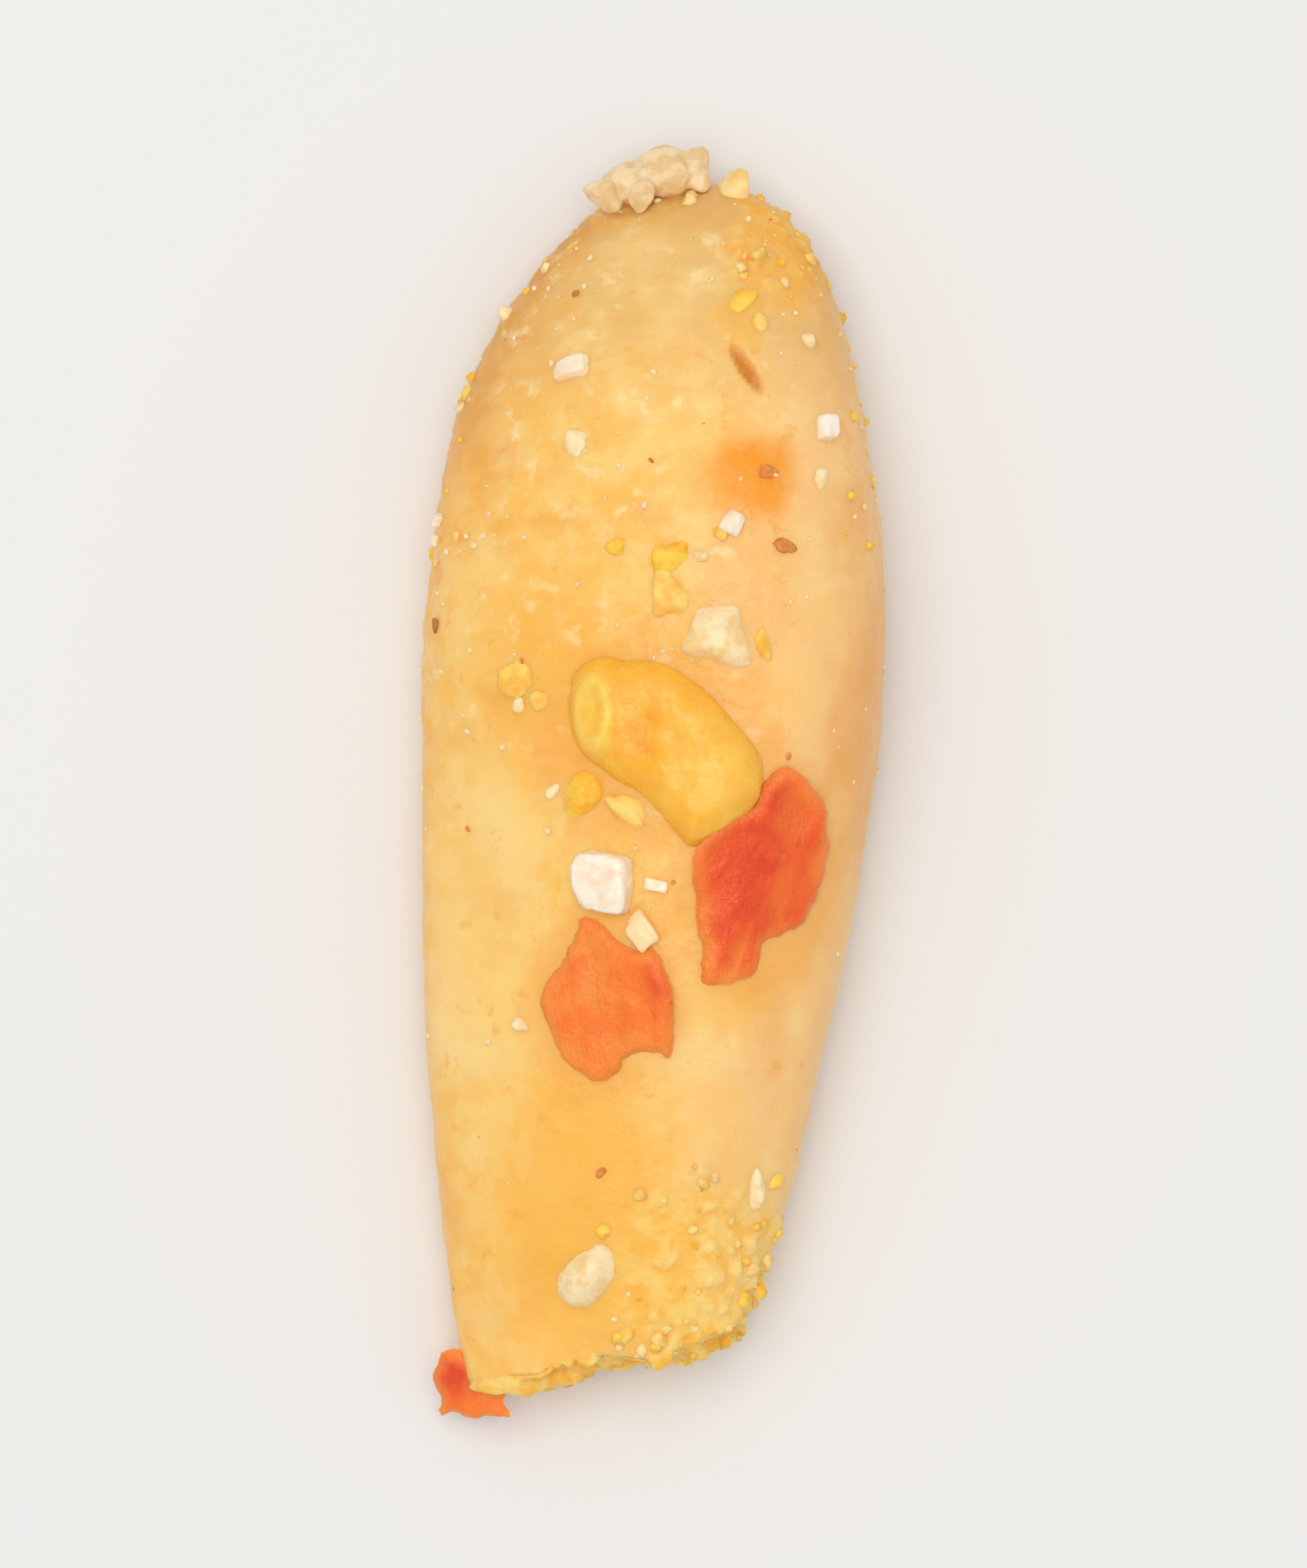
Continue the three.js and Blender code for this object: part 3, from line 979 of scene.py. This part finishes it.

seed_outline = [
    (-2.08, 2.2), (-1.9, 2.8), (-1.35, 3.15), (-0.7, 3.12), (0.2, 3.08), (0.95, 2.65),
    (1.55, 2.1), (2.1, 1.4), (2.5, 0.8), (2.62, 0.2), (2.5, -0.4), (2.0, -0.95), (1.45, -1.38),
    (0.9, -1.52), (0.5, -1.2), (0.1, -0.75), (-0.4, -0.25), (-1.05, 0.15), (-1.75, 0.75),
    (-2.05, 1.45),
]
# Swellings of the seed, in mm: x, y, half-length across and along, height, and share of pale skin.
# The pale share is partly the seed's own tones and partly painted light and shade: paler on the lobe,
# the ring and inside it, and darker in the dips down the middle
seed_swellings = [
    (1.3, 0.3, 0.95, 1.2, 0.03, 0.4),
    (-0.1, 0.9, 0.5, 1.1, -0.1, -0.4),
    (0.75, -0.2, 0.12, 0.9, -0.03, -0.25),
    (-1.02, 1.67, 0.12, 0.5, 0.03, 0.9),
    (-1.42, 1.8, 0.15, 0.4, -0.05, 0.8),
]
SEED_EYE = (-1.38, 1.72, 0.4, 0.78)  # mm: middle and half-lengths of the raised ring on the seed
SEED_EYE_HEIGHT = 0.13
SEED_EYE_WIDTH = 0.33  # of the ring, as a share of its half-lengths


def swellings_at(x, y, column):
    """The seed's swellings at x, y: their height (column 4) or their share of pale skin (column 5)."""
    total = 0.0
    for swelling in seed_swellings:
        across, along = (x - swelling[0]) / swelling[2], (y - swelling[1]) / swelling[3]
        total += swelling[column] * math.exp(-(across**2) - along**2)
    return total


def eye_ring(x, y):
    """1 on the seed's raised ring, fading to 0 on both sides of it."""
    middle_x, middle_y, half_width, half_length = SEED_EYE
    away = math.hypot((x - middle_x) / half_width, (y - middle_y) / half_length) - 1
    return math.exp(-((away / SEED_EYE_WIDTH) ** 2))


def seed_rise(x, y, depth):
    """The seed: rounded at its edge, swollen in two lobes and faintly rough."""
    body = SEED_THICKNESS + swellings_at(x, y, 4) + SEED_EYE_HEIGHT * eye_ring(x, y)
    body += SEED_ROUGH * noise.fractal(Vector((x, y, 0)) * 1.5, 0.9, 2.0, 3)
    return body * round_edge(depth, SEED_EDGE, 0.9) - SEED_LOWERED, -SEED_ROOT


def seed_values(x, y, depth):
    """Where the seed's skin is pale, which is partly painted light and shade on its swellings and ring, and
    how near its edge is.
    """
    pale = 0.35 + swellings_at(x, y, 5) + 0.6 * eye_ring(x, y)
    return {"shade": min(1.0, max(0.0, pale)), "rim": 1 - min(1.0, depth / SEED_RIM)}


def seed_finish():
    """Golden seed skin, paler on the swellings and ring and darker in the dips, which is partly painted light
    and shade, with a darker orange rim that is painted shade at its edge, and an oily gloss.
    """
    made, tree, coat, place = new_finish(
        "chilli_seed",
        Subsurface_Weight=0.4,
        Subsurface_Radius=(1.0, 0.7, 0.3),
        Subsurface_Scale=0.35 * MM,
        Specular_IOR_Level=0.4,
    )
    toasted = grain_of(tree, place, 0.7, 0.1, "feb42e", "faa41e")
    pale = grain_of(tree, place, 0.6, 0.1, "ffd666", "ffca4c")
    body = tint(tree, toasted["Colour"], kept(tree, "shade"), pale["Colour"])
    # Painted shade: a darker orange towards the seed's edge
    body = tint(tree, body, times(tree, kept(tree, "rim"), 0.35), "ffb634")
    dull = maths(tree, "ADD", times(tree, toasted["Flecks"], 0.16), 0.26)
    wrinkled = maths(tree, "ADD", toasted["Pores"], times(tree, clouds(tree, place, 2.2, 3.0, 0.6), 2.0))
    connect(tree, coat, Base_Color=body, Roughness=dull, Normal=bumpy(tree, wrinkled, 0.6, 0.04))
    return made


seed_part = thin_body(seed_outline, 0.02, 41, resting(seed_outline, 0.75), seed_rise, seed_values)
loose_piece("chilli_seed", [seed_part], seed_finish())

# ---------------------------------------------------------------------------------------------
# Chilli flakes: torn bits of dried red pepper skin, orange to red, wrinkled and glossy with oil.
# Two lie on the middle of the kernel, and a small flat one is stuck under the corner of the break.

FLAKE_THICKNESS = 0.15
FLAKE_THINNEST = 0.08
FLAKE_EDGE = 0.26
FLAKE_BUCKLE = 0.06
FLAKE_RIDGES = 0.035
FLAKE_CURL = 0.3  # mm by which the torn edge stands off the kernel where it curls most
CURL_REACH = 0.9  # mm in from the edge, where the curl ends
FLAKE_ROOT = 0.03  # mm by which a flake's underside is in the kernel where it doesn't curl
FLAKE_RIM = 0.35  # mm, the width of the yellower rim

right_flake = [
    (0.92, -1.7), (1.45, -1.1), (2.3, -0.5), (2.62, 0.02), (3.21, 0.38), (3.75, -0.05), (4.15, -0.6),
    (4.2, -1.65), (4.02, -2.5), (3.78, -3.25), (3.28, -3.62), (2.72, -3.86), (2.62, -4.35),
    (2.25, -4.72), (1.68, -4.86), (1.15, -4.74), (1.15, -4.1), (1.06, -3.3), (1.0, -2.5),
]
left_flake = [
    (-1.78, -3.32), (-1.4, -3.21), (-0.95, -3.65), (-0.51, -4.05), (0.0, -4.1), (0.4, -4.7),
    (0.49, -5.54), (0.44, -6.6), (0.0, -6.5), (-0.62, -6.6), (-0.95, -7.15), (-1.6, -7.1),
    (-2.15, -6.8), (-2.5, -6.1), (-2.7, -5.3), (-2.5, -4.65), (-2.1, -4.1), (-1.9, -3.65),
]
# The third one slopes down outwards from the left corner of the break, and is cupped along it
corner_flake = [
    (-5.18, -14.05), (-5.3, -14.1), (-5.42, -14.75), (-5.3, -15.3), (-5.36, -15.6), (-5.28, -15.68),
    (-4.8, -15.66), (-4.5, -15.8), (-4.1, -15.66), (-3.62, -15.68), (-3.52, -15.58), (-3.66, -15.3),
    (-3.7, -14.9), (-4.3, -14.35), (-4.8, -13.95),
]
CORNER_AT = Vector((-4.45, -14.7, 1.75))  # mm, where it meets the corner
CORNER_SLOPE = 0.55
CORNER_CUP = 0.22


def fibre(x, y, turn):
    """The fine ridges that run along a flake, from -1 to 1, for its turn from upright (degrees)."""
    angle = math.radians(turn)
    across = x * math.cos(angle) + y * math.sin(angle)
    along = y * math.cos(angle) - x * math.sin(angle)
    return 2 * noise.fractal(Vector((across * 1.3, along * 0.3, turn)), 0.8, 2.0, 3)


def flake_rise_for(turn, most_curl=FLAKE_CURL):
    """The heights of a torn flake: a thin ridged skin, buckled, its edge curling up in places."""

    def rise(x, y, depth):
        place = Vector((x, y, turn))
        buckle = FLAKE_BUCKLE * noise.noise(place * 0.8)
        uneven = min(1.0, max(0.0, 0.2 + 1.4 * noise.noise(place * 0.55)))
        curl = most_curl * uneven * (1 - min(1.0, depth / CURL_REACH)) ** 2
        body = max(FLAKE_THINNEST, FLAKE_THICKNESS + buckle + FLAKE_RIDGES * fibre(x, y, turn))
        return curl + body * round_edge(depth, FLAKE_EDGE, 0.9), curl - FLAKE_ROOT

    return rise


def flake_values_for(turn, red_at, red_reach):
    """Where a flake is redder: round a place (mm), fading out over a reach, and along its fibres."""

    def values(x, y, depth):
        away = math.hypot(x - red_at[0], y - red_at[1]) / red_reach
        red = 1.3 - away + 0.3 * fibre(x, y, turn)
        return {"shade": min(1.0, max(0.0, red)), "rim": 1 - min(1.0, depth / FLAKE_RIM)}

    return values


def flake_finish():
    """Dried pepper skin from orange to red, yellower along its torn rim, with an oily gloss."""
    made, tree, peel, place = new_finish(
        "chilli_flake",
        Subsurface_Weight=0.35,
        Subsurface_Radius=(1.0, 0.4, 0.15),
        Subsurface_Scale=0.25 * MM,
        Specular_IOR_Level=0.4,
    )
    orange = grain_of(tree, place, 0.9, 0.1, "ff8e34", "ff7c26")
    red = grain_of(tree, place, 0.9, 0.1, "f2581e", "e4481a")
    body = tint(tree, orange["Colour"], kept(tree, "shade"), red["Colour"])
    body = tint(tree, body, times(tree, kept(tree, "rim"), 0.6), "ff963e")
    dull = maths(tree, "ADD", times(tree, orange["Flecks"], 0.18), 0.28)
    creases = clouds(tree, scaled(tree, place, (1.0, 0.45, 1.0)), 2.4, 4.0, 0.62)
    crinkled = maths(tree, "ADD", orange["Pores"], times(tree, creases, 3.0))
    connect(tree, peel, Base_Color=body, Roughness=dull, Normal=bumpy(tree, crinkled, 0.8, 0.05))
    return made


def under_the_corner(x, y):
    """The sheet on which the small flake lies, which slopes down outwards and is cupped."""
    outward = Vector((-1, -1)).normalized()
    along = Vector((1, -1)).normalized()
    away = Vector((x, y)) - CORNER_AT.xy
    height = CORNER_AT.z - CORNER_SLOPE * away.dot(outward) + CORNER_CUP * away.dot(along) ** 2
    lean = outward * CORNER_SLOPE - along * 2 * CORNER_CUP * away.dot(along)
    return Vector((x, y, height)) * MM, Vector((*lean, 1)).normalized()


right_part = thin_body(right_flake, 0.1, 53, resting(right_flake, 0.35), flake_rise_for(-25),
                       flake_values_for(-25, (2.4, -1.9), 2.7))
left_part = thin_body(left_flake, 0.1, 59, resting(left_flake, 0.35), flake_rise_for(8),
                      flake_values_for(8, (0.75, -4.8), 0.9))
corner_part = thin_body(corner_flake, 0.1, 61, under_the_corner, flake_rise_for(60, 0.0),
                        flake_values_for(60, (-5.0, -14.6), 0.7))
loose_piece("chilli_flakes", [right_part, left_part, corner_part], flake_finish())

# ---------------------------------------------------------------------------------------------
# Fine seasoning: salt dust, crust crumbs and chilli specks strewn over the kernel, thickest where
# the oil was tacky. Each kind is a few grain shapes, scattered, turned and sized at random.

MOSTLY_SMALL = 2.5  # the power that makes small grains the commonest


def build_scatter():
    """The tree that strews grains over a surface, thickest where the attribute Where is 1."""
    tree, start, end = new_tree(
        "strewn_grains",
        "GeometryNodeTree",
        {
            "Geometry": ("NodeSocketGeometry", None),
            "Grains": ("NodeSocketCollection", None),
            "Finish": ("NodeSocketMaterial", None),
            "Where": ("NodeSocketString", "dusty"),
            "Per square mm": ("NodeSocketFloat", 3.0),
            "Smallest": ("NodeSocketFloat", 0.05),
            "Largest": ("NodeSocketFloat", 0.2),
            "Sunk": ("NodeSocketFloat", 0.3),
            "Lowest shade": ("NodeSocketFloat", 0.0),
            "Seed": ("NodeSocketInt", 1),
        },
        {"Geometry": "NodeSocketGeometry"},
    )
    given = start.outputs
    where = result(add(tree, "GeometryNodeInputNamedAttribute", {"data_type": "FLOAT"}, Name=given["Where"]))
    density = times(tree, where, given["Per square mm"], 1 / MM**2)
    strewn = add(tree, "GeometryNodeDistributePointsOnFaces", Mesh=given["Geometry"], Density=density,
                 Seed=given["Seed"])
    chance = result(add(tree, "FunctionNodeRandomValue", {"data_type": "FLOAT"}, Seed=given["Seed"]))
    spread = maths(tree, "SUBTRACT", given["Largest"], given["Smallest"])
    size = times(tree, spread, maths(tree, "POWER", chance, MOSTLY_SMALL))
    size = times(tree, maths(tree, "ADD", size, given["Smallest"]), MM)
    lift = times(tree, size, maths(tree, "SUBTRACT", 0.5, given["Sunk"]))
    placed = add(tree, "GeometryNodeSetPosition", Geometry=strewn.outputs["Points"],
                 Offset=scaled(tree, strewn.outputs["Normal"], lift))
    shapes = add(tree, "GeometryNodeCollectionInfo", Collection=given["Grains"])
    shapes.inputs["Separate Children"].default_value = True
    shapes.inputs["Reset Children"].default_value = True
    turn = add(tree, "FunctionNodeRandomValue", {"data_type": "FLOAT_VECTOR"}, Max=(math.tau,) * 3,
               Seed=maths(tree, "ADD", given["Seed"], 1))
    grains = add(tree, "GeometryNodeInstanceOnPoints", Points=placed.outputs["Geometry"],
                 Instance=shapes.outputs[0], Rotation=result(turn), Scale=size)
    grains.inputs["Pick Instance"].default_value = True
    shade = result(add(tree, "FunctionNodeRandomValue", {"data_type": "FLOAT"}, Min=given["Lowest shade"],
                       Seed=maths(tree, "ADD", given["Seed"], 2)))
    shaded = add(tree, "GeometryNodeStoreNamedAttribute", {"data_type": "FLOAT", "domain": "INSTANCE"},
                 Geometry=grains.outputs[0], Value=shade)
    shaded.inputs["Name"].default_value = "shade"
    real = add(tree, "GeometryNodeRealizeInstances", Geometry=shaded.outputs["Geometry"])
    finished = add(tree, "GeometryNodeSetMaterial", Geometry=real.outputs["Geometry"],
                   Material=given["Finish"])
    tree.links.new(finished.outputs["Geometry"], end.inputs["Geometry"])
    return tree


scatter = build_scatter()


def strew(name, slot, shapes, **values):
    """Grains of these shapes (points and faces, about 1 across) strewn over the kernel."""
    box = bpy.data.collections.new(name + "_shapes")
    for number, (points, faces) in enumerate(shapes):
        mesh = bpy.data.meshes.new(f"{name}_shape_{number}")
        mesh.from_pydata([point / 2 for point in points], [], faces)
        mesh.shade_smooth()
        box.objects.link(bpy.data.objects.new(mesh.name, mesh))
    ground = in_scene(name + "_ground", kernel.data.copy())
    values = {label.replace("_", " "): value for label, value in values.items()}
    with_nodes(ground, scatter, {"Grains": box, **values})
    made = plain_mesh(ground, name)
    for shape in list(box.objects):
        bpy.data.objects.remove(shape)
    bpy.data.collections.remove(box)
    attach(made, "root")


def flake_speck(dice):
    """A tiny torn flake of chilli skin."""
    points, faces = crumb(dice, 2, 0.3)
    return [Vector((point.x, point.y * 0.7, point.z * 0.35)) for point in points], faces


def speck_finish():
    """Specks of chilli and roasted spice, from orange to brown."""
    made, tree, flake, place = new_finish("spice_speck", Specular_IOR_Level=0.4)
    grain = grain_of(tree, place, 0.2, 0.08, "f5a04a", "e5853a")
    body = tint(tree, grain["Colour"], kept(tree, "shade"), "b2762e")
    dull = maths(tree, "ADD", times(tree, grain["Flecks"], 0.2), 0.4)
    connect(tree, flake, Base_Color=body, Roughness=dull)
    return made


speck_material = speck_finish()
dust_dice = random.Random(31)
strew("salt_dust", "salt", [crumb(dust_dice, 2, 0.3) for _ in range(4)], Finish=salt_material,
      Where="dusty", Per_square_mm=2.2, Smallest=0.04, Largest=0.2, Sunk=0.5, Lowest_shade=0.6, Seed=3)
strew("crust_crumbs", "seasoning_crumb", [crumb(dust_dice, 2, 0.4) for _ in range(6)],
      Finish=crumb_material, Where="gritty", Per_square_mm=3.2, Smallest=0.12, Largest=0.45, Sunk=0.6,
      Lowest_shade=0.55, Seed=8)
strew("spice_specks", "seasoning_crumb", [flake_speck(dust_dice) for _ in range(4)],
      Finish=speck_material, Where="dusty", Per_square_mm=0.12, Smallest=0.08, Largest=0.3, Sunk=0.4, Seed=14)

# x, y (mm), (length, width, height above the skin), turn (degrees), shade from 0, orange, to 1, brown
spice_bits = [
    (2.75, 7.55, (0.5, 0.38, 0.12), 30, 0.2),
    (3.16, 5.76, (0.55, 0.4, 0.12), 150, 0.45),
    (-5.35, 3.9, (0.36, 0.26, 0.12), 60, 0.9),
    (-1.3, -9.5, (0.3, 0.2, 0.07), 45, 0.3),
    (-2.1, -14.9, (0.32, 0.26, 0.12), 10, 0.1),
]
BIT_SUNK = 0.4
bit_parts = seated_lumps(spice_bits, lambda size: crumb(dust_dice, 3, 0.25), BIT_SUNK)
loose_piece("spice_bits", bit_parts, speck_material)
